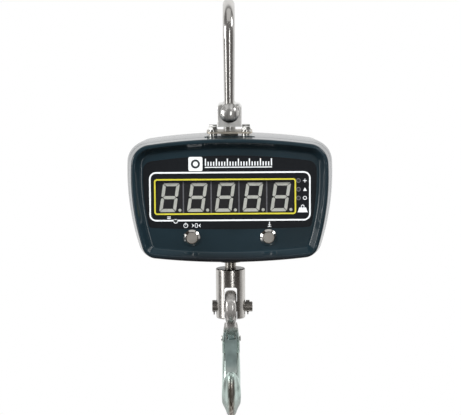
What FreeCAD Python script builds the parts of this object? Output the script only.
import FreeCAD, Part
import math
import os
import Sketcher

# Electronic crane scale, in millimetres.
# Frame: +Z up, front panel facing -Y, +X to the right of somebody reading the panel.
# The origin is the inside of the top shackle's crown, where a lifting hook bears.

V = FreeCAD.Vector
X_AXIS = V(1, 0, 0)
Y_AXIS = V(0, 1, 0)
Z_AXIS = V(0, 0, 1)

SIZES = {
    # top shackle and its pin
    "bow_inner_radius": 20.0,
    "bow_bar_radius": 5.25,
    "leg_end_radius": 4.4,
    "shackle_eye_radius": 8.65,
    "shackle_eye_thickness": 11.2,
    "shackle_eye_spacing": 35.0,
    "shackle_pin_z": -88.0,
    "shackle_pin_radius": 4.0,
    "shackle_pin_bore": 4.07,
    "shackle_pin_reach": 34.5,
    "shackle_split_inset": 3.4,
    "pin_head_radius": 8.2,
    "pin_head_rim": 1.6,
    "pin_head_height": 6.2,
    # eye block and flange
    "eye_block_width": 21.3,
    "eye_block_depth": 22.0,
    "eye_block_top": -81.0,
    "eye_block_bottom": -101.0,
    "neck_radius": 5.25,
    "neck_end": -135.5,
    "plate_width": 40.0,
    "plate_depth": 30.0,
    "plate_top": -105.2,
    "plate_thickness": 1.5,
    "flange_bolt_x": 14.6,
    "flange_bolt_y": 10.4,
    "flange_bolt_radius": 2.0,
    "flange_bolt_length": 16.0,
    "land_width": 44.0,
    "land_depth": 33.0,
    "land_z": -108.9,
    # casing
    "rim_half_width": 85.5,
    "rim_top": -109.4,
    "rim_bottom": -217.0,
    "side_flare": 5.0,
    "top_flare": 0.6,
    "bottom_flare": 3.0,
    "flare_softness": 9.0,
    "top_arc": 510.0,
    "bottom_arc": 590.0,
    "side_arc": 215.0,
    "widest_z": -142.0,
    "top_corner": 18.0,
    "bottom_corner": 13.0,
    "front_y": 36.0,
    "panel_y": 29.2,
    "parting_y": 18.0,
    "back_y": 38.0,
    "wall": 3.0,
    "front_wall": 2.5,
    "back_wall": 4.5,
    "gasket_thickness": 1.0,
    "front_edge": 1.8,
    "back_edge": 6.0,
    "mouth_inset": 2.8,
    "panel_inset": 8.6,
    "film_depth": 0.4,
    "film_half_width": 75.4,
    "film_top": -124.4,
    "film_bottom": -188.9,
    "film_bottom_arc": 1500.0,
    "film_corner_cut": 10.1,
    "cover_screw_radius": 2.0,
    # display and buttons
    "digit_pitch": 24.2,
    "first_digit_x": -52.7,
    "digit_z": -161.1,
    "module_width": 24.0,
    "module_height": 34.0,
    "pane_width": 121.0,
    "pane_height": 28.4,
    "pane_x": -4.2,
    "board_y": 19.0,
    "main_board_y": 22.0,
    "board_thickness": 1.6,
    "board_screw_radius": 1.25,
    "indicator_x": 59.6,
    "indicator_radius": 1.6,
    "button_x": 33.4,
    "button_z": -196.2,
    "button_head_radius": 7.15,
    "button_thread_radius": 6.0,
    "button_cap_radius": 4.85,
    "button_bore_radius": 4.92,
    "button_head_height": 2.3,
    # back of the casing
    "door_z": -182.0,
    "door_width": 86.0,
    "door_height": 54.0,
    "door_thickness": 1.8,
    "door_gasket": 0.6,
    "door_screw_x": 39.5,
    "door_screw_rise": 23.5,
    "door_screw_radius": 1.5,
    "socket_x": 62.0,
    "socket_z": -160.0,
    "socket_radius": 4.0,
    "socket_recess_radius": 8.0,
    "socket_recess_depth": 2.8,
    "label_width": 58.0,
    "label_height": 24.0,
    "label_z": -137.0,
    "label_depth": 0.4,
    # load cell and swivel
    "cell_width": 50.0,
    "cell_depth": 19.0,
    "cell_top": -124.0,
    "cell_bottom": -180.0,
    "cell_slot": 3.0,
    "cup_radius": 14.0,
    "cup_bottom": -209.0,
    "cup_top": -185.0,
    "stud_radius": 5.0,
    "stud_bore": 5.08,
    "stud_top": -186.5,
    "stud_bottom": -241.0,
    # clevis and its pin
    "clevis_radius": 13.0,
    "clevis_top": -227.7,
    "clevis_bottom": -272.3,
    "clevis_slot": 11.2,
    "clevis_slot_top": -243.5,
    "clevis_pin_z": -262.5,
    "clevis_pin_radius": 4.5,
    "clevis_pin_left": -16.5,
    "clevis_pin_right": 19.4,
    "clevis_split_left": -14.8,
    "clevis_split_right": 15.2,
    "split_pin_radius": 0.95,
    # hook and latch
    "hook_eye_radius": 14.7,
    "hook_eye_width": 10.2,
    "hook_bore": 4.59,
    "latch_pivot_y": -3.2,
    "latch_pivot_z": -290.6,
    "latch_angle": 28.7,
    "latch_reach": 35.1,
    "latch_sheet": 1.2,
    "latch_width": 11.2,
    "tongue_width": 10.4,
    "rivet_radius": 1.8,
    "lug_slot": 11.8,
}

doc = FreeCAD.newDocument("crane_scale")
sheet = doc.addObject("Spreadsheet::Sheet", "sizes")
parts = []


class Dim:
    """A length that knows both its value and the spreadsheet expression that gives it."""

    def __init__(self, value, text):
        self.value = value
        self.text = text

    def __float__(self):
        return self.value

    def __add__(self, other):
        return Dim(self.value + float(other), "(%s + %s)" % (self.text, text_of(other)))

    def __sub__(self, other):
        return Dim(self.value - float(other), "(%s - %s)" % (self.text, text_of(other)))

    def __mul__(self, factor):
        return Dim(self.value * float(factor), "(%s * %s)" % (self.text, text_of(factor)))

    def __neg__(self):
        return Dim(-self.value, "(0 - %s)" % self.text)


def text_of(length):
    return length.text if isinstance(length, Dim) else repr(float(length))


def fill_sheet():
    for row, (alias, value) in enumerate(SIZES.items(), start=1):
        sheet.set("A%d" % row, alias)
        sheet.set("B%d" % row, str(value))
        sheet.setAlias("B%d" % row, alias)
    doc.recompute()


def dim(alias):
    return Dim(float(sheet.get(alias)), "sizes." + alias)


def bind(obj, prop, length):
    """Drive one property from the sheet, or set it when the length is a plain number."""
    if isinstance(length, Dim):
        obj.setExpression(prop, length.text)
    setattr(obj, prop, float(length))


def keep(obj, label):
    """Register a finished sub-part under the name of its node."""
    obj.Label = label
    parts.append(obj)
    return obj


# ---------------------------------------------------------------- primitives and booleans

def aim(direction):
    """Rotation that turns +Z to the given direction."""
    return FreeCAD.Rotation(Z_AXIS, direction)


def cylinder(radius, height, base, direction=Z_AXIS):
    obj = doc.addObject("Part::Cylinder", "cylinder")
    bind(obj, "Radius", radius)
    bind(obj, "Height", height)
    obj.Placement = FreeCAD.Placement(V(*[float(c) for c in base]), aim(direction))
    return obj


def cone(radius_1, radius_2, height, base, direction=Z_AXIS):
    obj = doc.addObject("Part::Cone", "cone")
    bind(obj, "Radius1", radius_1)
    bind(obj, "Radius2", radius_2)
    bind(obj, "Height", height)
    obj.Placement = FreeCAD.Placement(V(*[float(c) for c in base]), aim(direction))
    return obj


def box(width, depth, height, corner):
    obj = doc.addObject("Part::Box", "box")
    bind(obj, "Length", width)
    bind(obj, "Width", depth)
    bind(obj, "Height", height)
    obj.Placement.Base = V(*[float(c) for c in corner])
    return obj


def hexagon(across_flats, height, base, direction=Z_AXIS, turn=0.0):
    obj = doc.addObject("Part::Prism", "hexagon")
    obj.Polygon = 6
    bind(obj, "Circumradius", across_flats / math.sqrt(3))
    bind(obj, "Height", height)
    spin = FreeCAD.Rotation(Z_AXIS, turn)
    obj.Placement = FreeCAD.Placement(V(*[float(c) for c in base]), aim(direction) * spin)
    return obj


def fuse(*shapes):
    obj = doc.addObject("Part::MultiFuse", "fuse")
    obj.Shapes = list(shapes)
    return obj


def cut(base, *tools):
    obj = doc.addObject("Part::Cut", "cut")
    obj.Base = base
    obj.Tool = tools[0] if len(tools) == 1 else fuse(*tools)
    return obj


def common(first, second):
    obj = doc.addObject("Part::Common", "common")
    obj.Base = first
    obj.Tool = second
    return obj


def compound(*shapes):
    """Several loose solids that share one node."""
    obj = doc.addObject("Part::Compound", "compound")
    obj.Links = list(shapes)
    return obj


def round_edges(base, radius, choose):
    """Fillet the edges of a boolean result that the choose function picks."""
    doc.recompute()
    obj = doc.addObject("Part::Fillet", "fillet")
    obj.Base = base
    numbers = [i for i, edge in enumerate(base.Shape.Edges, start=1) if choose(edge)]
    obj.Edges = [(i, float(radius), float(radius)) for i in numbers]
    return obj


def ring(outer, inner, height, base, direction=Z_AXIS):
    """Washer or sleeve."""
    return cut(cylinder(outer, height, base, direction),
               cylinder(inner, height, base, direction))


# ---------------------------------------------------------------- PartDesign helpers

def new_body(label, placement=None):
    body = doc.addObject("PartDesign::Body", label)
    keep(body, label)
    if placement:
        body.Placement = placement
    return body


def sketch_on(body, role, offset=0.0):
    """Empty sketch on one of the body's own origin planes, moved along that plane's normal."""
    sketch = body.newObject("Sketcher::SketchObject", "Sketch")
    plane = [f for f in body.Origin.OriginFeatures if f.Role == role][0]
    sketch.AttachmentSupport = (plane, "")
    sketch.MapMode = "FlatFace"
    sketch.AttachmentOffset.Base = V(0, 0, float(offset))
    if isinstance(offset, Dim):
        sketch.setExpression("AttachmentOffset.Base.z", offset.text)
    return sketch


def add_circle(sketch, u, v, radius):
    index = sketch.addGeometry(Part.Circle(V(float(u), float(v), 0), Z_AXIS, float(radius)))
    rule = sketch.addConstraint(Sketcher.Constraint("Radius", index, float(radius)))
    if isinstance(radius, Dim):
        sketch.setExpression("Constraints[%d]" % rule, radius.text)


def add_polygon(sketch, points):
    ends = [V(float(u), float(v), 0) for u, v in points]
    first = sketch.GeometryCount
    count = len(ends)
    for i in range(count):
        sketch.addGeometry(Part.LineSegment(ends[i], ends[(i + 1) % count]))
    for i in range(count):
        sketch.addConstraint(Sketcher.Constraint("Coincident", first + i, 2,
                                                 first + (i + 1) % count, 1))


def add_box(sketch, u, v, width, height):
    """Rectangle centred on (u, v) whose width and height follow the sheet."""
    u, v = float(u), float(v)
    half_w, half_h = float(width) / 2, float(height) / 2
    first = sketch.GeometryCount
    add_polygon(sketch, [(u - half_w, v - half_h), (u + half_w, v - half_h),
                         (u + half_w, v + half_h), (u - half_w, v + half_h)])
    for side in (0, 2):
        sketch.addConstraint(Sketcher.Constraint("Horizontal", first + side))
    for side in (1, 3):
        sketch.addConstraint(Sketcher.Constraint("Vertical", first + side))
    for side, length in ((0, width), (1, height)):
        rule = sketch.addConstraint(Sketcher.Constraint("Distance", first + side, float(length)))
        if isinstance(length, Dim):
            sketch.setExpression("Constraints[%d]" % rule, length.text)
    if u == 0 and v == 0:
        sketch.addConstraint(Sketcher.Constraint("Symmetric", first, 1, first + 2, 1, -1, 1))


def add_arcs(sketch, arcs):
    """Closed chain of arcs, each given by its centre, radius, start and end angle."""
    first = sketch.GeometryCount
    count = len(arcs)
    for centre, radius, start, end in arcs:
        circle = Part.Circle(V(centre[0], centre[1], 0), Z_AXIS, radius)
        sketch.addGeometry(Part.ArcOfCircle(circle, start, end))
    for i in range(count):
        sketch.addConstraint(Sketcher.Constraint("Coincident", first + i, 2,
                                                 first + (i + 1) % count, 1))


def feature(body, kind, profile, length=None, **options):
    """Pad or Pocket of one sketch; a pocket that removes nothing is an error."""
    before = body.Shape.Volume if body.Tip else 0.0
    item = body.newObject("PartDesign::" + kind, kind)
    item.Profile = profile
    if length is not None:
        bind(item, "Length", length)
    for name, value in options.items():
        setattr(item, name, value)
    profile.Visibility = False
    doc.recompute()
    if kind in ("Pocket", "Groove") and body.Shape.Volume > before - 1e-3:
        raise RuntimeError("%s: %s removes nothing" % (body.Label, item.Name))
    return item


def revolve(body, sketch, axis, kind="Revolution"):
    return feature(body, kind, sketch, None, ReferenceAxis=(sketch, [axis]), Angle=360.0)


def loft(body, sketches, kind="AdditiveLoft", ruled=True):
    before = body.Shape.Volume if body.Tip else 0.0
    item = body.newObject("PartDesign::" + kind, kind)
    item.Profile = sketches[0]
    item.Sections = list(sketches[1:])
    item.Ruled = ruled
    doc.recompute()
    if kind == "SubtractiveLoft" and not 0 < body.Shape.Volume < before - 1e-3:
        raise RuntimeError("%s: %s cuts wrongly" % (body.Label, item.Name))
    return item


def dress(body, kind, size, choose):
    """Fillet or Chamfer on the tip's edges that the choose function picks."""
    tip = body.Tip
    names = ["Edge%d" % i for i, edge in enumerate(tip.Shape.Edges, start=1) if choose(edge)]
    if not names:
        raise RuntimeError("%s: no edge to dress" % body.Label)
    item = body.newObject("PartDesign::" + kind, kind)
    item.Base = (tip, names)
    bind(item, "Radius" if kind == "Fillet" else "Size", size)
    doc.recompute()
    return item


def edge_at(axis, place, tolerance=0.01):
    """Picks edges that lie wholly in the plane axis = place."""
    def test(edge):
        bound = edge.BoundBox
        low, high = getattr(bound, axis + "Min"), getattr(bound, axis + "Max")
        return abs(low - float(place)) < tolerance and abs(high - float(place)) < tolerance
    return test


def inner_loop(body, y):
    """Picks the edges of the hole in the body's flat ring at one depth."""
    ring_face = [face for face in body.Tip.Shape.Faces if abs(face.BoundBox.YMin - y) < 0.01 and
                 abs(face.BoundBox.YMax - y) < 0.01][0]
    hole = min(ring_face.Wires, key=lambda wire: wire.BoundBox.XLength)
    middles = [edge.CenterOfMass for edge in hole.Edges]
    return lambda edge: any(edge.CenterOfMass.distanceToPoint(m) < 1e-4 for m in middles)


# ---------------------------------------------------------------- casing outline

def corner_between(centre_1, radius_1, centre_2, radius_2, radius, height):
    """Centre of a corner arc inside two larger arcs, on the side nearest the given height."""
    reach_1, reach_2 = radius_1 - radius, radius_2 - radius
    dx, dz = centre_2[0] - centre_1[0], centre_2[1] - centre_1[1]
    gap = math.hypot(dx, dz)
    along = (gap * gap + reach_1 ** 2 - reach_2 ** 2) / (2 * gap)
    across = math.sqrt(reach_1 ** 2 - along ** 2)
    spots = [(centre_1[0] + (along * dx - side * across * dz) / gap,
              centre_1[1] + (along * dz + side * across * dx) / gap) for side in (-1, 1)]
    return min(spots, key=lambda spot: abs(spot[1] - height))


def angle_to(centre, point):
    return math.atan2(point[1] - centre[1], point[0] - centre[0])


def casing_outline(half_width, top, bottom, inset=0.0, bottom_arc=None):
    """Arched top, leaning sides and arched bottom with rounded corners: eight tangent arcs."""
    top_r = float(dim("top_arc")) - inset
    bottom_r = float(bottom_arc or dim("bottom_arc")) - inset
    side_r = float(dim("side_arc")) - inset
    top_c = (0.0, top - top_r)
    bottom_c = (0.0, bottom + bottom_r)
    right_c = (half_width - side_r, float(dim("widest_z")))
    left_c = (-right_c[0], right_c[1])
    top_corner = max(float(dim("top_corner")) - inset, 2.0)
    bottom_corner = max(float(dim("bottom_corner")) - inset, 2.0)
    upper = corner_between(top_c, top_r, right_c, side_r, top_corner, top)
    lower = corner_between(bottom_c, bottom_r, right_c, side_r, bottom_corner, bottom)
    upper_left = (-upper[0], upper[1])
    lower_left = (-lower[0], lower[1])
    turn = 2 * math.pi
    a_top = angle_to(top_c, upper)
    a_up = angle_to(right_c, upper)
    a_low = angle_to(right_c, lower)
    a_bottom = angle_to(bottom_c, lower)
    return [
        (top_c, top_r, a_top, math.pi - a_top),
        (upper_left, top_corner, math.pi - a_top, math.pi - a_up),
        (left_c, side_r, math.pi - a_up, math.pi - a_low),
        (lower_left, bottom_corner, math.pi - a_low, -math.pi - a_bottom + turn),
        (bottom_c, bottom_r, math.pi - a_bottom, a_bottom + turn),
        (lower, bottom_corner, a_bottom + turn, a_low + turn),
        (right_c, side_r, a_low + turn, a_up + turn),
        (upper, top_corner, a_up + turn, a_top + turn),
    ]


def flare_at(y):
    """Share of the full flare at a depth: none at the rims, full and level at the load axis."""
    reach = float(dim("front_y")) if y < 0 else float(dim("back_y"))
    soft = float(dim("flare_softness"))
    return 1 - (math.hypot(y, soft) - soft) / (math.hypot(reach, soft) - soft)


def casing_section(body, y, inset=0.0):
    """Sketch of the casing's outline at one depth, moved inwards by the inset."""
    share = flare_at(y)
    half_width = float(dim("rim_half_width")) + share * float(dim("side_flare")) - inset
    top = float(dim("rim_top")) + share * float(dim("top_flare")) - inset
    bottom = float(dim("rim_bottom")) - share * float(dim("bottom_flare")) + inset
    sketch = sketch_on(body, "XZ_Plane", -y)
    add_arcs(sketch, casing_outline(half_width, top, bottom, inset))
    return sketch


def barrel(body, start, end, inset=0.0, kind="AdditiveLoft"):
    """Smooth stretch of the casing's side between two depths."""
    steps = max(2, round((end - start) / 6.0))
    depths = [start + (end - start) * step / steps for step in range(steps + 1)]
    loft(body, [casing_section(body, y, inset) for y in depths], kind, ruled=False)


def rounded_rim(body, y, radius):
    """Quarter-round edge between the casing's side and its flat front or back."""
    steps = 6
    inward = -1 if y > 0 else 1
    sections = []
    for step in range(steps + 1):
        turn = math.radians(90.0 * step / steps)
        sections.append(casing_section(body, y + inward * radius * (1 - math.sin(turn)),
                                       radius * (1 - math.cos(turn))))
    loft(body, sections, ruled=False)


def drill(body, spots, radius, face_y, depth, outward=False):
    """Round pockets along Y from the plane y = face_y, into +Y or, outward, into -Y."""
    sketch = sketch_on(body, "XZ_Plane", -float(face_y))
    for x, z in spots:
        add_circle(sketch, x, z, radius)
    return feature(body, "Pocket", sketch, depth, Reversed=outward)


def posts(body, spots, radius, face_y, length, forward=False):
    """Round pads along Y from the plane y = face_y, into +Y or, forward, into -Y."""
    sketch = sketch_on(body, "XZ_Plane", -float(face_y))
    for x, z in spots:
        add_circle(sketch, x, z, radius)
    return feature(body, "Pad", sketch, length, Reversed=not forward)


# ---------------------------------------------------------------- top shackle

def top_shackle():
    """Bow shackle: a round-bar arc over the origin, tapering legs and two bored eyes."""
    bar, leg_end = dim("bow_bar_radius"), dim("leg_end_radius")
    bow = dim("bow_inner_radius") + bar
    centre_z = bar - bow
    eye_y, eye_z = dim("shackle_eye_spacing") * 0.5, dim("shackle_pin_z")
    drop = float(centre_z) - float(eye_z)
    reach = math.hypot(float(eye_y), drop)
    swing = math.acos(float(bow) / reach)
    low = math.atan2(-drop, float(eye_y)) + swing
    arc = doc.addObject("Part::Torus", "bow_arc")
    bind(arc, "Radius1", bow)
    bind(arc, "Radius2", bar)
    arc.Angle3 = 180.0 - 2 * math.degrees(low)
    upright = FreeCAD.Rotation(Y_AXIS, Z_AXIS, X_AXIS, "ZXY")
    start = FreeCAD.Rotation(Z_AXIS, math.degrees(low))
    arc.Placement = FreeCAD.Placement(V(0, 0, float(centre_z)), upright * start)
    solids = [arc]
    bores = []
    for side in (-1, 1):
        foot = V(0, side * float(eye_y), float(eye_z))
        tangent = V(0, side * float(bow) * math.cos(low),
                    float(centre_z) + float(bow) * math.sin(low))
        direction = tangent - foot
        solids.append(cone(leg_end, bar, direction.Length, foot, direction.normalize()))
        thick = dim("shackle_eye_thickness")
        inner = foot - Y_AXIS * (float(thick) / 2)
        solids.append(cylinder(dim("shackle_eye_radius"), thick, inner, Y_AXIS))
        bores.append(cylinder(dim("shackle_pin_radius") + 0.1, thick + 4.0,
                              inner - Y_AXIS * 2.0, Y_AXIS))
    keep(cut(fuse(*solids), *bores), "top_shackle")


def shackle_pin():
    """Domed head in front, plain shank through both eyes, cross hole behind."""
    outer = float(dim("shackle_eye_spacing") + dim("shackle_eye_thickness")) / 2
    head, rim = float(dim("pin_head_radius")), float(dim("pin_head_rim"))
    rise = float(dim("pin_head_height")) - rim
    shank, reach = float(dim("shackle_pin_radius")), float(dim("shackle_pin_reach"))
    body = new_body("shackle_pin", FreeCAD.Placement(V(0, 0, float(dim("shackle_pin_z"))),
                                                     FreeCAD.Rotation()))
    sketch = sketch_on(body, "YZ_Plane")
    face = -outer - 0.1
    dome = (head ** 2 + rise ** 2) / (2 * rise)
    centre = face - rim - rise + dome
    edge = math.atan2(head, face - rim - centre)
    arc = Part.ArcOfCircle(Part.Circle(V(centre, 0, 0), Z_AXIS, dome), edge, math.pi)
    corners = [V(face - rim, head, 0), V(face, head, 0), V(face, shank, 0),
               V(reach - 1.0, shank, 0), V(reach, shank - 1.0, 0), V(reach, 0, 0),
               V(face - rim - rise, 0, 0)]
    sketch.addGeometry(arc)
    for start, end in zip(corners, corners[1:]):
        sketch.addGeometry(Part.LineSegment(start, end))
    revolve(body, sketch, "H_Axis")
    hole = sketch_on(body, "XY_Plane", -10.0)
    split_bore = float(dim("split_pin_radius")) + 0.15
    add_circle(hole, 0, reach - float(dim("shackle_split_inset")), split_bore)
    feature(body, "Pocket", hole, 20.0, Reversed=True)


def shackle_nut():
    """Castle nut behind the rear eye, with three slots across its crown."""
    face = float(dim("shackle_eye_spacing") + dim("shackle_eye_thickness")) / 2 + 0.1
    z = dim("shackle_pin_z")
    nut = hexagon(13.0, 5.6, (0, face, z), Y_AXIS)
    crown = cylinder(5.8, 2.6, (0, face + 5.6, z), Y_AXIS)
    tools = [cylinder(dim("shackle_pin_radius"), 14.0, (0, face - 2.0, z), Y_AXIS)]
    for turn in (0, 60, 120):
        slot = box(2.5, 2.7, 14.0, (0, 0, 0))
        spin = FreeCAD.Rotation(Y_AXIS, turn)
        corner = V(0, face + 5.6, float(z)) - spin.multVec(V(1.25, 0, 7.0))
        slot.Placement = FreeCAD.Placement(corner, spin)
        tools.append(slot)
    keep(cut(fuse(nut, crown), *tools), "shackle_nut")


def split_pin(radius, centre, upper, lower):
    """Split pin along Z: a flat round head above, two bent legs below."""
    stem = cylinder(radius, upper + lower, centre - Z_AXIS * lower)
    head = cylinder(radius * 1.7, 1.2, centre + Z_AXIS * upper)
    legs = []
    for side in (-1, 1):
        lean = V(0, side * 0.5, -1).normalize()
        legs.append(cylinder(radius * 0.55, 2.6, centre - Z_AXIS * (lower - 0.6), lean))
    return fuse(stem, head, *legs)


def shackle_split_pin():
    y = float(dim("shackle_pin_reach") - dim("shackle_split_inset"))
    centre = V(0, y, float(dim("shackle_pin_z")))
    keep(split_pin(dim("split_pin_radius"), centre, 5.9, 6.4), "shackle_split_pin")


# ---------------------------------------------------------------- eye block, flange, seals

def eye_block():
    """Forged eye with a threaded neck that runs down into the load cell."""
    body = new_body("eye_block")
    top, bottom = dim("eye_block_top"), dim("eye_block_bottom")
    sketch = sketch_on(body, "XY_Plane", bottom)
    add_box(sketch, 0, 0, dim("eye_block_width"), dim("eye_block_depth"))
    feature(body, "Pad", sketch, top - bottom)
    corner = float(dim("eye_block_width")) / 2
    dress(body, "Fillet", 3.4, lambda e: e.BoundBox.YLength > 20 and
          abs(e.BoundBox.ZMin - float(top)) < 0.01 and abs(e.CenterOfMass.x) > corner - 0.01)
    dress(body, "Fillet", 1.2, lambda e: e.BoundBox.XLength < 0.01 and
          e.BoundBox.YLength < 0.01 and e.BoundBox.ZLength > 5)
    neck = sketch_on(body, "XY_Plane", bottom + 0.5)
    add_circle(neck, 0, 0, dim("neck_radius"))
    feature(body, "Pad", neck, bottom + 0.5 - dim("neck_end"), Reversed=True)
    spot = [(0, float(dim("shackle_pin_z")))]
    drill(body, spot, dim("shackle_pin_bore"), -15.0, 30.0)
    dress(body, "Chamfer", 0.6, lambda e: e.Curve.TypeId == "Part::GeomCircle" and
          abs(e.Curve.Radius - float(dim("shackle_pin_bore"))) < 0.01)
    dress(body, "Chamfer", 0.8, edge_at("Z", dim("neck_end")))


def bolt_spots():
    x, y = float(dim("flange_bolt_x")), float(dim("flange_bolt_y"))
    return [(sx * x, sy * y) for sx in (-1, 1) for sy in (-1, 1)]


def flange_plate():
    body = new_body("flange_plate")
    sketch = sketch_on(body, "XY_Plane", dim("plate_top"))
    add_box(sketch, 0, 0, dim("plate_width"), dim("plate_depth"))
    feature(body, "Pad", sketch, dim("plate_thickness"), Reversed=True)
    dress(body, "Fillet", 5.0, lambda e: e.BoundBox.XLength < 0.01 and
          e.BoundBox.YLength < 0.01 and e.BoundBox.ZLength > 1)
    holes = sketch_on(body, "XY_Plane", dim("plate_top"))
    add_circle(holes, 0, 0, dim("neck_radius"))
    for x, y in bolt_spots():
        add_circle(holes, x, y, dim("flange_bolt_radius") + 0.1)
    feature(body, "Pocket", holes, dim("plate_thickness"))


def flange_fasteners():
    """Four M4 bolts with spring washers, flat washers and spacers under the plate."""
    top, land = dim("plate_top"), dim("land_z")
    under = top - dim("plate_thickness")
    radius, length = dim("flange_bolt_radius"), dim("flange_bolt_length")
    bore = radius + 0.1
    flat, spring, head_height = 0.8, 1.0, 2.8
    seat = top + flat + spring
    bolts, springs, flats, spacers = [], [], [], []
    for x, y in bolt_spots():
        head = hexagon(7.0, head_height, (x, y, seat), Z_AXIS, 30.0)
        dome = common(head, cone(5.2, 3.4, head_height, (x, y, seat)))
        bolts.append(fuse(dome, cylinder(radius, length, (x, y, seat - length))))
        split = box(2.4, 0.7, spring + 0.2, (x + 1.8, y - 0.35, top + flat - 0.1))
        springs.append(cut(ring(3.5, bore, spring, (x, y, top + flat)), split))
        flats.append(ring(4.3, bore, flat, (x, y, top)))
        spacers.append(ring(3.8, bore, under - land, (x, y, land)))
    keep(compound(*bolts), "flange_bolts")
    keep(compound(*springs, *flats), "flange_washers")
    keep(compound(*spacers), "flange_spacers")


def neck_seal():
    """Rubber collar around the neck, plugged into the casing's top hole."""
    under = dim("plate_top") - dim("plate_thickness")
    collar = cylinder(7.6, under - dim("land_z"), (0, 0, dim("land_z")))
    plug = cylinder(6.4, 4.6, (0, 0, float(dim("land_z")) - 4.6))
    lip = cylinder(7.6, 1.0, (0, 0, float(dim("land_z")) - 5.6))
    bore = cylinder(dim("neck_radius"), 12.0, (0, 0, -116.0))
    keep(cut(fuse(collar, plug, lip), bore), "neck_seal")


def neck_locknut():
    z = float(dim("cell_top"))
    keep(cut(hexagon(17.0, 5.4, (0, 0, z)),
             cylinder(dim("neck_radius"), 8.0, (0, 0, z - 1.0))), "neck_locknut")


# ---------------------------------------------------------------- casing

def screw_spots():
    return [(-70.5, -130.0), (70.5, -130.0), (-62.0, -202.0), (62.0, -202.0)]


def front_cover():
    """Front shell: flared rim, sloping bezel, flat panel with window and button holes."""
    body = new_body("front_cover")
    front, panel = float(dim("front_y")), float(dim("panel_y"))
    parting = float(dim("parting_y")) + float(dim("gasket_thickness")) / 2
    inner = panel - float(dim("front_wall"))
    edge = float(dim("front_edge"))
    barrel(body, edge - front, -parting)
    rounded_rim(body, -front, edge)
    mouth = casing_section(body, -front - 0.5, float(dim("mouth_inset")))
    floor = casing_section(body, -panel, float(dim("panel_inset")))
    loft(body, [mouth, floor], "SubtractiveLoft")
    dress(body, "Fillet", 0.8, inner_loop(body, -front))
    dress(body, "Fillet", 2.6, edge_at("Y", -panel))
    wall = float(dim("wall"))
    loft(body, [casing_section(body, -inner, wall + 2.5), casing_section(body, -parting, wall)],
         "SubtractiveLoft")
    posts(body, screw_spots(), 5.0, -inner - 0.5, inner + 0.5 - parting)
    drill(body, screw_spots(), dim("cover_screw_radius"), -parting, 7.5, outward=True)
    film = sketch_on(body, "XZ_Plane", panel + 1.0)
    add_arcs(film, film_outline(0.1))
    feature(body, "Pocket", film, 1.0 + float(dim("film_depth")))
    window = sketch_on(body, "XZ_Plane", panel + 1.0)
    add_box(window, dim("pane_x"), dim("digit_z"), dim("pane_width") + 0.2,
            dim("pane_height") + 0.2)
    feature(body, "Pocket", window, 8.0)
    drill(body, indicator_spots(), dim("indicator_radius") + 0.15, -panel - 1.0, 8.0)
    drill(body, button_spots(), dim("button_thread_radius") + 0.05, -panel - 1.0, 8.0)


def film_outline(growth=0.0):
    """Printed film: follows the bezel above and at the sides, straighter below."""
    half_width, top, bottom, cut_back = [float(dim("film_" + word)) for word in
                                         ("half_width", "top", "bottom", "corner_cut")]
    return casing_outline(half_width + growth, top + growth, bottom - growth,
                          cut_back - growth, dim("film_bottom_arc"))


def indicator_spots():
    """Three state lamps right of the digits and the steady lamp on the frame line below."""
    x = float(dim("indicator_x"))
    return [(x, -146.7), (x, -154.3), (x, -161.9), (-47.5, -181.7)]


def button_spots():
    return [(side * float(dim("button_x")), float(dim("button_z"))) for side in (-1, 1)]


def rear_cover():
    """Deep rear shell: holes for neck and stud, battery opening, posts for screws and board."""
    body = new_body("rear_cover")
    parting = float(dim("parting_y")) - float(dim("gasket_thickness")) / 2
    back, wall = float(dim("back_y")), float(dim("wall"))
    inner = back - float(dim("back_wall"))
    edge = float(dim("back_edge"))
    barrel(body, -parting, back - edge)
    rounded_rim(body, back, edge)
    for kind, depth in (("Pad", 3.0), ("Pocket", 6.0)):
        land = sketch_on(body, "XY_Plane", dim("land_z"))
        add_box(land, 0, 0, dim("land_width"), dim("land_depth"))
        feature(body, kind, land, depth, Reversed=True)
    barrel(body, -parting, inner, wall, "SubtractiveLoft")
    posts(body, screw_spots(), 5.0, -parting, inner + parting + 0.5)
    drill(body, screw_spots(), dim("cover_screw_radius") + 0.3, -parting - 1.0, 60.0)
    drill(body, screw_spots(), 4.3, back, 5.0, outward=True)
    seat = float(dim("main_board_y") + dim("board_thickness"))
    posts(body, board_spots(), 3.4, seat, inner - seat + 0.5)
    drill(body, board_spots(), dim("board_screw_radius"), seat, 7.0)
    top = sketch_on(body, "XY_Plane", dim("land_z") + 1.0)
    add_circle(top, 0, 0, 6.5)
    for x, y in bolt_spots():
        add_circle(top, x, y, dim("flange_bolt_radius"))
    feature(body, "Pocket", top, 10.0)
    base = sketch_on(body, "XY_Plane", dim("rim_bottom") - 6.0)
    add_circle(base, 0, 0, 8.5)
    feature(body, "Pocket", base, 12.0, Reversed=True)
    back_recess(body, dim("door_z"), dim("door_width") + 0.4, dim("door_height") + 0.4,
                dim("door_thickness") + dim("door_gasket"))
    back_recess(body, dim("door_z"), dim("door_width") - 16.0, dim("door_height") - 16.0, 9.0)
    back_recess(body, dim("label_z"), dim("label_width") + 0.4, dim("label_height") + 0.4,
                dim("label_depth"))
    drill(body, door_screw_spots(), dim("door_screw_radius"), back, 7.0, outward=True)
    socket = [(float(dim("socket_x")), float(dim("socket_z")))]
    drill(body, socket, dim("socket_recess_radius"), back, dim("socket_recess_depth"),
          outward=True)
    drill(body, socket, dim("socket_radius") + 0.05, back, 8.0, outward=True)


def back_recess(body, z, width, height, depth):
    """Rectangular pocket, centred on the casing, cut from its back face."""
    sketch = sketch_on(body, "XZ_Plane", -dim("back_y"))
    add_box(sketch, 0, z, width, height)
    feature(body, "Pocket", sketch, depth, Reversed=True)


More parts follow.
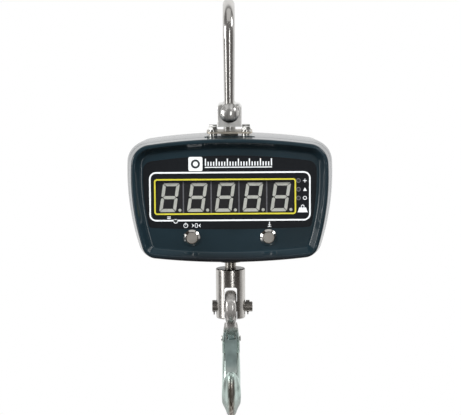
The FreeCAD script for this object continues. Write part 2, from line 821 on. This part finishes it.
def board_spots():
    return [(side * 45.0, z) for side in (-1, 1) for z in (-123.0, -150.0)]


def door_screw_spots():
    x, z, rise = [float(dim("door_" + word)) for word in ("screw_x", "z", "screw_rise")]
    return [(side * x, z + up * rise) for side in (-1, 1) for up in (-1, 1)]


def cover_gasket():
    body = new_body("cover_gasket")
    parting, half = float(dim("parting_y")), float(dim("gasket_thickness")) / 2
    loft(body, [casing_section(body, -parting - half, 0.5),
                casing_section(body, -parting + half, 0.5)])
    loft(body, [casing_section(body, -parting - half - 0.01, 2.9),
                casing_section(body, -parting + half + 0.01, 2.9)], "SubtractiveLoft")


def cover_screws():
    """Four long screws, put in from behind and ending in the front cover's posts."""
    head_y = float(dim("back_y")) - 5.0
    length = head_y + float(dim("panel_y")) - 6.0
    screws = []
    for x, z in screw_spots():
        shank = cylinder(dim("cover_screw_radius"), length, (x, head_y - length, z), Y_AXIS)
        head = cylinder(3.6, 3.4, (x, head_y, z), Y_AXIS)
        socket = hexagon(3.0, 2.0, (x, head_y + 1.6, z), Y_AXIS)
        screws.append(cut(fuse(shank, head), socket))
    keep(compound(*screws), "cover_screws")


def panel_film():
    body = new_body("panel_film")
    sketch = sketch_on(body, "XZ_Plane", dim("panel_y"))
    add_arcs(sketch, film_outline())
    feature(body, "Pad", sketch, dim("film_depth"), Reversed=True)
    opening = sketch_on(body, "XZ_Plane", dim("panel_y"))
    add_box(opening, dim("pane_x"), dim("digit_z"), dim("pane_width"), dim("pane_height"))
    feature(body, "Pocket", opening, dim("film_depth"))


def display_window():
    body = new_body("display_window")
    sketch = sketch_on(body, "XZ_Plane", dim("panel_y"))
    add_box(sketch, dim("pane_x"), dim("digit_z"), dim("pane_width"), dim("pane_height"))
    feature(body, "Pad", sketch, dim("front_wall") - 0.1, Reversed=True)


# ---------------------------------------------------------------- electronics

def digit_module(number):
    """One-digit display module with its pins soldered into the display board."""
    x = float(dim("first_digit_x")) + number * float(dim("digit_pitch"))
    z = float(dim("digit_z"))
    face = float(dim("panel_y")) - float(dim("front_wall")) - 0.05
    board = float(dim("board_y"))
    case = box(dim("module_width"), face - board, dim("module_height"),
               (x - float(dim("module_width")) / 2, -face, z - float(dim("module_height")) / 2))
    pins = [cylinder(0.3, 3.0, (x + step * 2.54, -board - 0.5, z + row * 15.2), Y_AXIS)
            for step in range(-2, 3) for row in (-1, 1)]
    keep(fuse(case, *pins), "digit_module_%d" % (number + 1))


def standoff_spots():
    return [(x, z) for x in (-68.4, 64.6) for z in (-142.3, -180.5)]


def display_board():
    """Circuit board behind the digits, drilled for pins, lamps and its four screws."""
    body = new_body("display_board")
    sketch = sketch_on(body, "XZ_Plane", dim("board_y"))
    add_box(sketch, -2.0, -161.5, 142.0, 46.0)
    feature(body, "Pad", sketch, dim("board_thickness"), Reversed=True)
    holes = sketch_on(body, "XZ_Plane", dim("board_y"))
    for x, z in standoff_spots():
        add_circle(holes, x, z, 1.6)
    for number in range(5):
        x = float(dim("first_digit_x")) + number * float(dim("digit_pitch"))
        for step in range(-2, 3):
            for row in (-1, 1):
                add_circle(holes, x + step * 2.54, float(dim("digit_z")) + row * 15.2, 0.4)
    feature(body, "Pocket", holes, dim("board_thickness"))


def board_hardware():
    """Hexagonal standoffs between front cover and display board, and the boards' screws."""
    wall = float(dim("panel_y")) - float(dim("front_wall"))
    board, thick = float(dim("board_y")), float(dim("board_thickness"))
    standoffs, screws = [], []
    for x, z in standoff_spots():
        post = hexagon(5.5, wall - board, (x, -wall, z), Y_AXIS)
        standoffs.append(cut(post, cylinder(1.5, 5.0, (x, -board - 4.0, z), Y_AXIS)))
        back = -board + thick
        screws.append(fuse(cylinder(1.5, thick + 3.5, (x, back - thick - 3.5, z), Y_AXIS),
                           cylinder(2.7, 1.8, (x, back, z), Y_AXIS)))
    screw, face, head_height = dim("board_screw_radius"), float(dim("main_board_y")), 1.6
    for x, z in board_spots():
        screws.append(fuse(cylinder(screw, 7.0, (x, face, z), Y_AXIS),
                           cylinder(screw * 2, head_height, (x, face - head_height, z), Y_AXIS)))
    keep(compound(*standoffs), "board_standoffs")
    keep(compound(*screws), "board_screws")


def indicator_lamps():
    """Small round lamps on the display board that shine through the film."""
    board = float(dim("board_y"))
    front = float(dim("panel_y")) - float(dim("film_depth")) - 0.3
    radius = float(dim("indicator_radius"))
    lamps = []
    for x, z in indicator_spots():
        base = cylinder(2.4, 1.2, (x, -board - 1.2, z), Y_AXIS)
        stem = cylinder(radius, front - board - 1.0, (x, -front + 0.1, z), Y_AXIS)
        lamps.append(fuse(base, stem))
    keep(compound(*lamps), "indicator_lamps")


def main_board():
    """Measuring board on the rear posts: processor, converter can, connectors."""
    width, height, low = 104.0, 37.0, -155.0
    face, screw = float(dim("main_board_y")), dim("board_screw_radius")
    board = box(width, dim("board_thickness"), height, (-width / 2, face, low))
    holes = [cylinder(screw + 0.05, 4.0, (x, face - 1.0, z), Y_AXIS) for x, z in board_spots()]
    sink = 0.1
    chips = [box(across, tall + sink, up, (x, face - tall, z)) for across, tall, up, x, z in (
        (14.0, 1.7, 14.0, -7.0, -142.0), (10.0, 3.3, 8.0, 14.0, -139.0),
        (18.0, 5.9, 6.0, -38.0, -146.0), (12.0, 5.9, 6.0, 24.0, -151.0))]
    can_radius, can_height, can_z = 4.0, 8.1, -128.0
    cans = [cylinder(can_radius, can_height + sink, (x, face - can_height, can_z), Y_AXIS)
            for x in (27.0, 37.0)]
    keep(fuse(cut(board, *holes), *chips, *cans), "main_board")


def ribbon_cable():
    """Flat cable that joins the two boards over the top of the load cell."""
    front, rear, top = -15.9, 15.9, -117.6
    low, thick = -146.0, 0.8
    sketch_points = [(front, low), (front, top), (rear, top), (rear, -143.0),
                     (rear - thick, -143.0), (rear - thick, top - thick),
                     (front + thick, top - thick), (front + thick, low)]
    body = new_body("ribbon_cable")
    sketch = sketch_on(body, "YZ_Plane", -30.5)
    add_polygon(sketch, sketch_points)
    feature(body, "Pad", sketch, 14.0, Midplane=True)
    dress(body, "Fillet", 2.0, lambda e: e.BoundBox.XLength > 13 and
          abs(e.CenterOfMass.z - top) < 0.01)


def battery():
    """Rechargeable pack of two cells in its tray, behind the door."""
    z = float(dim("door_z"))
    wall, depth, front = 1.8, 19.3, 14.2
    width, height = 74.0, 42.0
    tray = box(width, depth, height, (-width / 2, front, z - height / 2))
    room = box(width - 2 * wall, depth, height - 2 * wall,
               (wall - width / 2, front + 1.4, z + wall - height / 2))
    keep(cut(tray, room), "battery_tray")
    cell, length = 9.1, 65.5
    middle = front + 2.0 + cell
    cells = [cylinder(cell, length, (-length / 2, middle, z + side * (cell + 0.1)), X_AXIS)
             for side in (-1, 1)]
    wrap = box(length, 2 * cell, 2 * cell + 0.2, (-length / 2, middle - cell, z - cell - 0.1))
    keep(fuse(wrap, *cells), "battery_pack")


def battery_door():
    """Sealed door on the back, flush with it, held by four countersunk screws."""
    z, face = float(dim("door_z")), float(dim("back_y"))
    width, height = float(dim("door_width")), float(dim("door_height"))
    thick, seal = float(dim("door_thickness")), float(dim("door_gasket"))
    radius = float(dim("door_screw_radius"))
    sink, head_radius = 1.4, 2.9
    gasket = box(width, seal, height, (-width / 2, face - thick - seal, z - height / 2))
    gap = box(width - 15.0, 2 * thick, height - 15.0,
              (7.5 - width / 2, face - thick - 2 * seal, z + 7.5 - height / 2))
    spots = door_screw_spots()
    seal_bores = [cylinder(radius + 0.2, 4.0, (x, face - 4.0, z), Y_AXIS) for x, z in spots]
    keep(cut(gasket, gap, *seal_bores), "battery_door_gasket")
    door = box(dim("door_width"), thick, dim("door_height"),
               (-width / 2, face - thick, z - height / 2))
    bores = [cylinder(radius + 0.2, 4.0, (x, face - 3.0, z), Y_AXIS) for x, z in spots]
    sinks = [cone(radius + 0.2, head_radius + 0.2, sink, (x, face - sink, z), Y_AXIS)
             for x, z in spots]
    keep(round_edges(cut(door, *bores, *sinks), 3.0, lambda e: e.BoundBox.YLength > 1.5 and
                     abs(e.CenterOfMass.x) > width / 2 - 0.1), "battery_door")
    screws = []
    for x, z in spots:
        head = cone(radius, head_radius, sink, (x, face - sink, z), Y_AXIS)
        slot = box(4.0, 0.8, 0.7, (x - 2.0, face - 0.8, z - 0.35))
        cross = box(0.7, 0.8, 4.0, (x - 0.35, face - 0.8, z - 2.0))
        shank = cylinder(radius, 6.4, (x, face - 6.4, z), Y_AXIS)
        screws.append(cut(fuse(head, shank), slot, cross))
    keep(compound(*screws), "battery_door_screws")


def charger_socket():
    """Round charging inlet in a recess of the back wall, held by a nut on its outside."""
    x, z = float(dim("socket_x")), float(dim("socket_z"))
    face, radius = float(dim("back_y")), dim("socket_radius")
    floor = face - float(dim("socket_recess_depth"))
    flange = cylinder(radius + 1.6, 6.0, (x, face - float(dim("back_wall")) - 6.0, z), Y_AXIS)
    front = face - 0.2
    shell = fuse(cylinder(radius, 9.0, (x, front - 9.0, z), Y_AXIS), flange)
    hollow = cylinder(2.75, 8.0, (x, front - 7.0, z), Y_AXIS)
    pin = cylinder(1.05, 6.3, (x, front - 7.1, z), Y_AXIS)
    keep(fuse(cut(shell, hollow), pin), "charger_socket")
    nut = cut(hexagon(11.0, 2.0, (x, floor, z), Y_AXIS),
              cylinder(radius, 6.0, (x, floor - 2.0, z), Y_AXIS))
    keep(nut, "charger_socket_nut")


def rear_label():
    """Blank rating plate in its own shallow recess above the battery door."""
    width, height, depth = dim("label_width"), dim("label_height"), dim("label_depth")
    corner = (-float(width) / 2, float(dim("back_y") - depth),
              float(dim("label_z")) - float(height) / 2)
    keep(box(width, depth, height, corner), "rear_label")


# ---------------------------------------------------------------- buttons

def button(name, x):
    """Threaded housing with a bright conical head, moving cap, return spring and nut."""
    z = float(dim("button_z"))
    panel = float(dim("panel_y"))
    rise = float(dim("button_head_height"))
    head, thread = dim("button_head_radius"), dim("button_thread_radius")
    bore_radius = dim("button_bore_radius")
    rim, length, bore_depth, sink = 0.7, 17.0, 12.0, 0.1
    flange = cylinder(head, rim, (x, -panel - rim, z), Y_AXIS)
    slope = cone(bore_radius + 0.5, head, rise - rim, (x, -panel - rise, z), Y_AXIS)
    sleeve = cylinder(thread, length, (x, -panel - sink, z), Y_AXIS)
    bore = cylinder(bore_radius, rise + bore_depth + 1.0, (x, -panel - rise - 1.0, z), Y_AXIS)
    lug_x, lug_width, lug_height = 2.5, 1.0, 2.0
    lugs = [box(lug_width, 4.0, lug_height, (x + side * lug_x - lug_width / 2,
                                             length - panel - 2 * sink, z - lug_height / 2))
            for side in (-1, 1)]
    keep(fuse(cut(fuse(flange, slope, sleeve), bore), *lugs), name + "_button_housing")
    front = panel + rise - 0.15
    cap_length, stem_radius, stem_length = 6.0, 1.6, 3.1
    cap = cylinder(dim("button_cap_radius"), cap_length, (x, -front, z), Y_AXIS)
    stem = cylinder(stem_radius, stem_length + sink, (x, cap_length - front - sink, z), Y_AXIS)
    keep(round_edges(fuse(cap, stem), 0.35, edge_at("Y", -front)), name + "_button_cap")
    coil, wire, turns, play = 2.9, 0.35, 5, 0.05
    first = cap_length - front + play + wire + play
    last = bore_depth - panel - play - wire - play
    pitch = (last - first) / turns
    path = Part.Wire(Part.makeHelix(pitch, last - first, coil))
    profile = Part.Wire(Part.makeCircle(wire, V(coil, 0, 0), Y_AXIS))
    spring = doc.addObject("Part::Feature", name + "_button_spring")
    spring.Shape = path.makePipeShell([profile], True, True)
    spring.Placement = FreeCAD.Placement(V(x, first, z), aim(Y_AXIS))
    keep(spring, name + "_button_spring")
    wall = panel - float(dim("front_wall"))
    nut = cut(hexagon(15.0, 2.4, (x, -wall, z), Y_AXIS),
              cylinder(thread, 5.0, (x, -wall - 1.0, z), Y_AXIS))
    keep(nut, name + "_button_nut")


# ---------------------------------------------------------------- load cell and swivel

def load_cell():
    """S-shaped load cell: two opposed slots, a central hole and threaded ends."""
    body = new_body("load_cell")
    width, depth = dim("cell_width"), dim("cell_depth")
    top, bottom = dim("cell_top"), dim("cell_bottom")
    sketch = sketch_on(body, "XY_Plane", bottom)
    add_box(sketch, 0, 0, width, depth)
    feature(body, "Pad", sketch, top - bottom)
    slots = sketch_on(body, "XZ_Plane", -15.0)
    reach = float(width) * 0.8
    edge = float(width) / 2 + 1.0
    for side, z in ((1, float(top) - 14.0), (-1, float(bottom) + 14.0)):
        add_box(slots, side * (edge - reach / 2), z, reach, dim("cell_slot"))
    feature(body, "Pocket", slots, 30.0, Reversed=True)
    middle = (float(top) + float(bottom)) / 2
    drill(body, [(-5.0, middle), (5.0, middle)], 4.2, -15.0, 30.0)
    bridge = sketch_on(body, "XZ_Plane", -15.0)
    add_box(bridge, 0, middle, 10.0, 5.0)
    feature(body, "Pocket", bridge, 30.0, Reversed=True)
    ends = sketch_on(body, "XY_Plane", top + 1.0)
    add_circle(ends, 0, 0, dim("neck_radius"))
    feature(body, "Pocket", ends, 12.7)
    low = sketch_on(body, "XY_Plane", bottom - 1.0)
    add_circle(low, 0, 0, 6.0)
    feature(body, "Pocket", low, 12.0, Reversed=True)


def swivel_housing():
    """Cup and screwed cap under the load cell that carry the stud's thrust bearing."""
    radius = dim("cup_radius")
    top, bottom = dim("cup_top"), dim("cup_bottom")
    cup = cut(cylinder(radius, top - bottom, (0, 0, bottom)),
              cylinder(11.4, 20.0, (0, 0, float(bottom) + 6.0)),
              cylinder(dim("stud_bore"), 10.0, (0, 0, float(bottom) - 1.0)))
    keep(cup, "swivel_cup")
    cap = fuse(cylinder(radius, dim("cell_bottom") - top, (0, 0, top)),
               cylinder(6.0, 11.0, (0, 0, dim("cell_bottom"))))
    keep(cap, "swivel_cap")


def thrust_bearing():
    """Two races and a ring of balls; the upper race turns with the stud."""
    seat = float(dim("cup_bottom")) + 6.0
    race, ball, orbit = 2.2, 1.6, 8.1
    keep(ring(11.0, 5.4, race, (0, 0, seat)), "thrust_race_lower")
    balls = []
    for i in range(12):
        turn = 2 * math.pi * i / 12
        sphere = doc.addObject("Part::Sphere", "ball")
        sphere.Radius = ball
        sphere.Placement.Base = V(orbit * math.cos(turn), orbit * math.sin(turn),
                                  seat + race + ball)
        balls.append(sphere)
    keep(compound(*balls), "thrust_balls")
    upper = seat + race + 2 * ball + 0.02
    keep(ring(11.0, 5.4, race, (0, 0, upper)), "thrust_race_upper")
    nut_z = upper + race
    keep(cut(hexagon(16.0, 7.6, (0, 0, nut_z)),
             cylinder(dim("stud_radius"), 12.0, (0, 0, nut_z - 1.0))), "stud_nut")


def swivel_stud():
    body = new_body("swivel_stud")
    sketch = sketch_on(body, "XY_Plane", dim("stud_bottom"))
    add_circle(sketch, 0, 0, dim("stud_radius"))
    feature(body, "Pad", sketch, dim("stud_top") - dim("stud_bottom"))
    dress(body, "Chamfer", 1.0, lambda e: edge_at("Z", dim("stud_bottom"))(e) or
          edge_at("Z", dim("stud_top"))(e))


def stud_seal():
    """Rubber bush in the casing's bottom hole, clear of the turning stud."""
    floor = float(dim("rim_bottom")) - float(dim("bottom_flare"))
    plug = cylinder(8.4, 4.6, (0, 0, floor - 0.9))
    lip = cylinder(10.4, 1.2, (0, 0, floor - 1.6))
    bore = cylinder(5.35, 12.0, (0, 0, floor - 3.0))
    keep(cut(fuse(plug, lip), bore), "stud_seal")


# ---------------------------------------------------------------- clevis and its pin

def clevis():
    """Turned fork: solid top on the stud, slot for the hook's eye, cross bore."""
    body = new_body("clevis")
    top, bottom = dim("clevis_top"), dim("clevis_bottom")
    sketch = sketch_on(body, "XY_Plane", bottom)
    add_circle(sketch, 0, 0, dim("clevis_radius"))
    feature(body, "Pad", sketch, top - bottom)
    dress(body, "Fillet", 1.0, edge_at("Z", top))
    dress(body, "Fillet", 1.4, edge_at("Z", bottom))
    slot = sketch_on(body, "XZ_Plane", -20.0)
    drop = dim("clevis_slot_top") - bottom + 5.0
    add_box(slot, 0, float(dim("clevis_slot_top")) - float(drop) / 2, dim("clevis_slot"), drop)
    feature(body, "Pocket", slot, 40.0, Reversed=True)
    dress(body, "Fillet", 1.8, lambda e: e.BoundBox.YLength > 20 and
          abs(e.CenterOfMass.z - float(dim("clevis_slot_top"))) < 0.01)
    hole = sketch_on(body, "YZ_Plane", -20.0)
    add_circle(hole, 0, dim("clevis_pin_z"), dim("clevis_pin_radius") + 0.02)
    feature(body, "Pocket", hole, 40.0, Reversed=True)
    thread = sketch_on(body, "XY_Plane", top + 1.0)
    add_circle(thread, 0, 0, dim("stud_radius"))
    feature(body, "Pocket", thread, top + 1.0 - dim("stud_bottom") + 0.2)


def clevis_pin():
    left, right = dim("clevis_pin_left"), dim("clevis_pin_right")
    z = dim("clevis_pin_z")
    rod = cylinder(dim("clevis_pin_radius"), right - left, (left, 0, z), X_AXIS)
    holes = [cylinder(1.05, 12.0, (x, 0, float(z) - 6.0))
             for x in (dim("clevis_split_left"), dim("clevis_split_right"))]
    bored = cut(rod, *holes)
    rim = float(dim("clevis_pin_radius")) * 2 - 0.1
    keep(round_edges(bored, 0.6, lambda e: e.BoundBox.XLength < 0.01 and
                     e.BoundBox.ZLength > rim), "clevis_pin")


def clevis_split_pins():
    reach = float(dim("clevis_pin_radius"))
    pins = []
    for x in (dim("clevis_split_left"), dim("clevis_split_right")):
        centre = V(float(x), 0, float(dim("clevis_pin_z")))
        pins.append(split_pin(dim("split_pin_radius"), centre, reach, reach + 0.6))
    keep(compound(*pins), "clevis_split_pins")


# ---------------------------------------------------------------- hook and latch

# Stations along the hook from point to eye: centre line (y, z from the clevis pin), depth in
# the plane of the hook, width on the inner side and width on the outer ridge.
HOOK_STATIONS = [
    (-29.2, -53.4, 4.0, 4.2, 3.0),
    (-30.0, -56.3, 8.0, 9.6, 4.2),
    (-30.0, -62.0, 12.0, 14.2, 4.6),
    (-27.4, -70.7, 15.4, 16.6, 5.0),
    (-20.8, -79.9, 18.4, 17.0, 5.6),
    (-7.4, -87.8, 21.0, 16.6, 6.2),
    (7.2, -83.9, 20.4, 16.6, 6.6),
    (16.4, -73.6, 18.4, 16.6, 7.2),
    (19.8, -60.8, 16.4, 16.4, 7.8),
    (18.8, -47.9, 14.8, 15.6, 8.4),
    (14.2, -36.1, 13.2, 14.2, 8.6),
    (7.8, -25.1, 12.2, 11.4, 8.6),
    (1.8, -11.6, 11.4, 9.4, 8.6),
]


def hook_section(centre, outward, depth, inner, outer):
    """Closed smooth section: broad and round towards the bowl, a narrow ridge outside."""
    half = depth / 2
    ring_points = [(-half, 0.0), (-0.86 * half, 0.32 * inner), (-0.3 * half, 0.5 * inner),
                   (0.35 * half, 0.25 * inner + 0.22 * outer), (0.9 * half, 0.42 * outer)]
    ring_points += [(half, 0.0)]
    mirrored = [(u, -v) for u, v in reversed(ring_points[1:-1])]
    points = [centre + outward * u + X_AXIS * v for u, v in ring_points + mirrored]
    curve = Part.BSplineCurve()
    curve.interpolate(Points=points, PeriodicFlag=True)
    return Part.Wire(curve.toShape())


def hook():
    """Forged eye hook: rounded eye on the clevis pin, neck, bowl and pointed tip."""
    pin_z = float(dim("clevis_pin_z"))
    spots = [V(0, y, pin_z + z) for y, z, _, _, _ in HOOK_STATIONS]
    sections = []
    for i, (_, _, depth, inner, outer) in enumerate(HOOK_STATIONS):
        ahead = spots[min(i + 1, len(spots) - 1)] - spots[max(i - 1, 0)]
        outward = ahead.normalize().cross(X_AXIS)
        sections.append(hook_section(spots[i], outward, depth, inner, outer))
    shank = Part.makeLoft(sections, True, False)
    width, eye_r = float(dim("hook_eye_width")), float(dim("hook_eye_radius"))
    eye = Part.makeCylinder(eye_r, width, V(-width / 2, 0, pin_z), X_AXIS)
    rims = [e for e in eye.Edges if e.Curve.TypeId == "Part::GeomCircle"]
    eye = eye.makeFillet(3.8, rims)
    bore = Part.makeCylinder(float(dim("hook_bore")), 40.0, V(-20, 0, pin_z), X_AXIS)
    pivot = V(-20, float(dim("latch_pivot_y")), float(dim("latch_pivot_z")))
    rivet_hole = Part.makeCylinder(float(dim("rivet_radius")), 40.0, pivot, X_AXIS)
    obj = doc.addObject("Part::Feature", "hook")
    obj.Shape = shank.fuse([eye, latch_lugs(pivot)]).cut([bore, rivet_hole])
    keep(obj, "hook")


def latch_lugs(pivot):
    """Two cheeks, widening downwards out of the hook's neck, that carry the latch's rivet."""
    y, z = pivot.y, pivot.z
    front_view = [(5.4, z + 13.0), (6.9, z + 5.0), (7.8, z - 3.4), (7.9, z - 17.0)]
    front_view += [(-x, height) for x, height in reversed(front_view)]
    side_view = [(9.0, z + 12.0), (5.0, z + 10.0), (y - 1.6, z + 5.6), (y - 4.4, z + 2.2),
                 (y - 4.4, z - 2.4), (y - 1.2, z - 6.6), (10.0, z - 16.0), (14.0, z - 16.0)]
    ahead, behind, aside = 20.0, 30.0, 10.0
    wide = Part.Face(Part.makePolygon([V(x, -ahead, h) for x, h in front_view + front_view[:1]]))
    deep = Part.Face(Part.makePolygon([V(-aside, v, h) for v, h in side_view + side_view[:1]]))
    block = wide.extrude(V(0, ahead + behind, 0)).common(deep.extrude(V(2 * aside, 0, 0)))
    rim_x, rim_y, rim_low, rim_high = 5.0, 4.0, z - 11.4, z + 7.6
    centres = [(edge, edge.CenterOfMass) for edge in block.Edges]
    rims = [edge for edge, c in centres
            if abs(c.x) > rim_x and c.y < rim_y and rim_low < c.z < rim_high]
    block = block.makeFillet(0.9, rims)
    slot, slot_back, slot_low, slot_height = float(dim("lug_slot")), 1.4, z - 24.0, 40.0
    return block.cut(Part.makeBox(slot, ahead + 2.0 + slot_back, slot_height,
                                  V(-slot / 2, -ahead - 2.0, slot_low)))


def hook_latch():
    """Sheet-metal safety latch: two ears on the rivet, a channel below them, a long tongue."""
    sheet_t = float(dim("latch_sheet"))
    pivot = V(0, float(dim("latch_pivot_y")), float(dim("latch_pivot_z")))
    tilt = FreeCAD.Rotation(X_AXIS, -float(dim("latch_angle")))
    body = new_body("hook_latch", FreeCAD.Placement(pivot, tilt))
    face, ear_back, tail = -6.2, 3.2, -13.0
    inner = face + sheet_t
    side = sketch_on(body, "YZ_Plane")
    add_polygon(side, [(face, 2.6), (-4.4, 3.8), (1.4, 3.8), (ear_back, 2.2),
                       (ear_back, -2.2), (-4.0, tail), (face, tail)])
    feature(body, "Pad", side, dim("latch_width"), Midplane=True)
    shelf, proud, high, low = -3.4, 8.0, 10.0, -20.0
    inside = sketch_on(body, "YZ_Plane")
    add_polygon(inside, [(inner, low), (inner, shelf), (-proud, shelf), (-proud, high),
                         (proud, high), (proud, low)])
    feature(body, "Pocket", inside, dim("latch_width") - 2 * sheet_t, Midplane=True)
    tongue = sketch_on(body, "YZ_Plane")
    reach, root = -float(dim("latch_reach")), tail + 2.0
    add_polygon(tongue, [(face, root), (face, reach), (inner, reach), (inner, root)])
    feature(body, "Pad", tongue, dim("tongue_width"), Midplane=True)
    holes = sketch_on(body, "YZ_Plane", -20.0)
    add_circle(holes, 0, 0, dim("rivet_radius") + 0.06)
    feature(body, "Pocket", holes, 40.0, Reversed=True)
    dress(body, "Fillet", 4.0, lambda e: e.BoundBox.XLength < 0.01 and
          e.BoundBox.YLength > 1 and e.BoundBox.ZLength < 1.2 and
          e.CenterOfMass.z < reach + 0.1)


def latch_rivet():
    """Rivet through both cheeks and both ears, with a low head at each end."""
    reach, head, wide, narrow, sink = 7.9, 0.9, 3.0, 2.2, 0.1
    y, z = dim("latch_pivot_y"), dim("latch_pivot_z")
    shank = cylinder(dim("rivet_radius"), 2 * reach, (-reach, y, z), X_AXIS)
    heads = [cone(wide, narrow, head, (reach - sink, y, z), X_AXIS),
             cone(narrow, wide, head, (sink - reach - head, y, z), X_AXIS)]
    keep(fuse(shank, *heads), "latch_rivet")


def latch_spring():
    """Torsion spring: seven turns on the rivet between the ears and a leg down the tongue."""
    y, z = float(dim("latch_pivot_y")), float(dim("latch_pivot_z"))
    wire = 0.5
    coil = float(dim("rivet_radius")) + wire + 0.05
    pitch, end = 2 * wire - 0.1, 3
    sink, long_leg, short_leg = 0.08, 10.0, 4.4
    loops = []
    for turn in range(-end, end + 1):
        torus = doc.addObject("Part::Torus", "coil")
        torus.Radius1 = coil
        torus.Radius2 = wire
        torus.Placement = FreeCAD.Placement(V(turn * pitch, y, z), aim(X_AXIS))
        loops.append(torus)
    tilt = FreeCAD.Rotation(X_AXIS, -float(dim("latch_angle")))
    start = V(-end * pitch, y, z) + tilt.multVec(V(0, sink - coil, 0.3))
    loops.append(cylinder(wire, long_leg, start, tilt.multVec(V(0, -0.18, -1)).normalize()))
    loops.append(cylinder(wire, short_leg, V(end * pitch, y - 0.3, z + coil - sink), Y_AXIS))
    keep(fuse(*loops), "latch_spring")


# ---------------------------------------------------------------- whole scale

def build():
    fill_sheet()
    for piece in (top_shackle, shackle_pin, shackle_nut, shackle_split_pin, eye_block,
                  flange_plate, flange_fasteners, neck_seal, neck_locknut, front_cover,
                  rear_cover, cover_gasket, cover_screws, panel_film, display_window):
        piece()
    for number in range(5):
        digit_module(number)
    for piece in (display_board, board_hardware, indicator_lamps, main_board, ribbon_cable,
                  battery, battery_door, charger_socket, rear_label, load_cell, swivel_housing,
                  thrust_bearing, swivel_stud, stud_seal, clevis, clevis_pin,
                  clevis_split_pins, hook, hook_latch, latch_rivet, latch_spring):
        piece()
    button("power", -float(dim("button_x")))
    button("tare", float(dim("button_x")))
    doc.recompute()


def check():
    """Stop before anything is written if a feature failed or a shape is unsound."""
    for obj in doc.Objects:
        if "Invalid" in obj.State or "Error" in obj.State:
            raise RuntimeError("%s (%s) failed: %s" % (obj.Name, obj.Label, obj.State))
    for obj in parts:
        if obj.Shape.isNull() or not obj.Shape.isValid():
            raise RuntimeError("%s has no valid shape" % obj.Label)


def write():
    os.makedirs("parts", exist_ok=True)
    for obj in parts:
        obj.Shape.exportStep("parts/%s.step" % obj.Label)
        print("%-24s %10.1f mm3  %d solid" % (obj.Label, obj.Shape.Volume,
                                              len(obj.Shape.Solids)))


build()
check()
write()
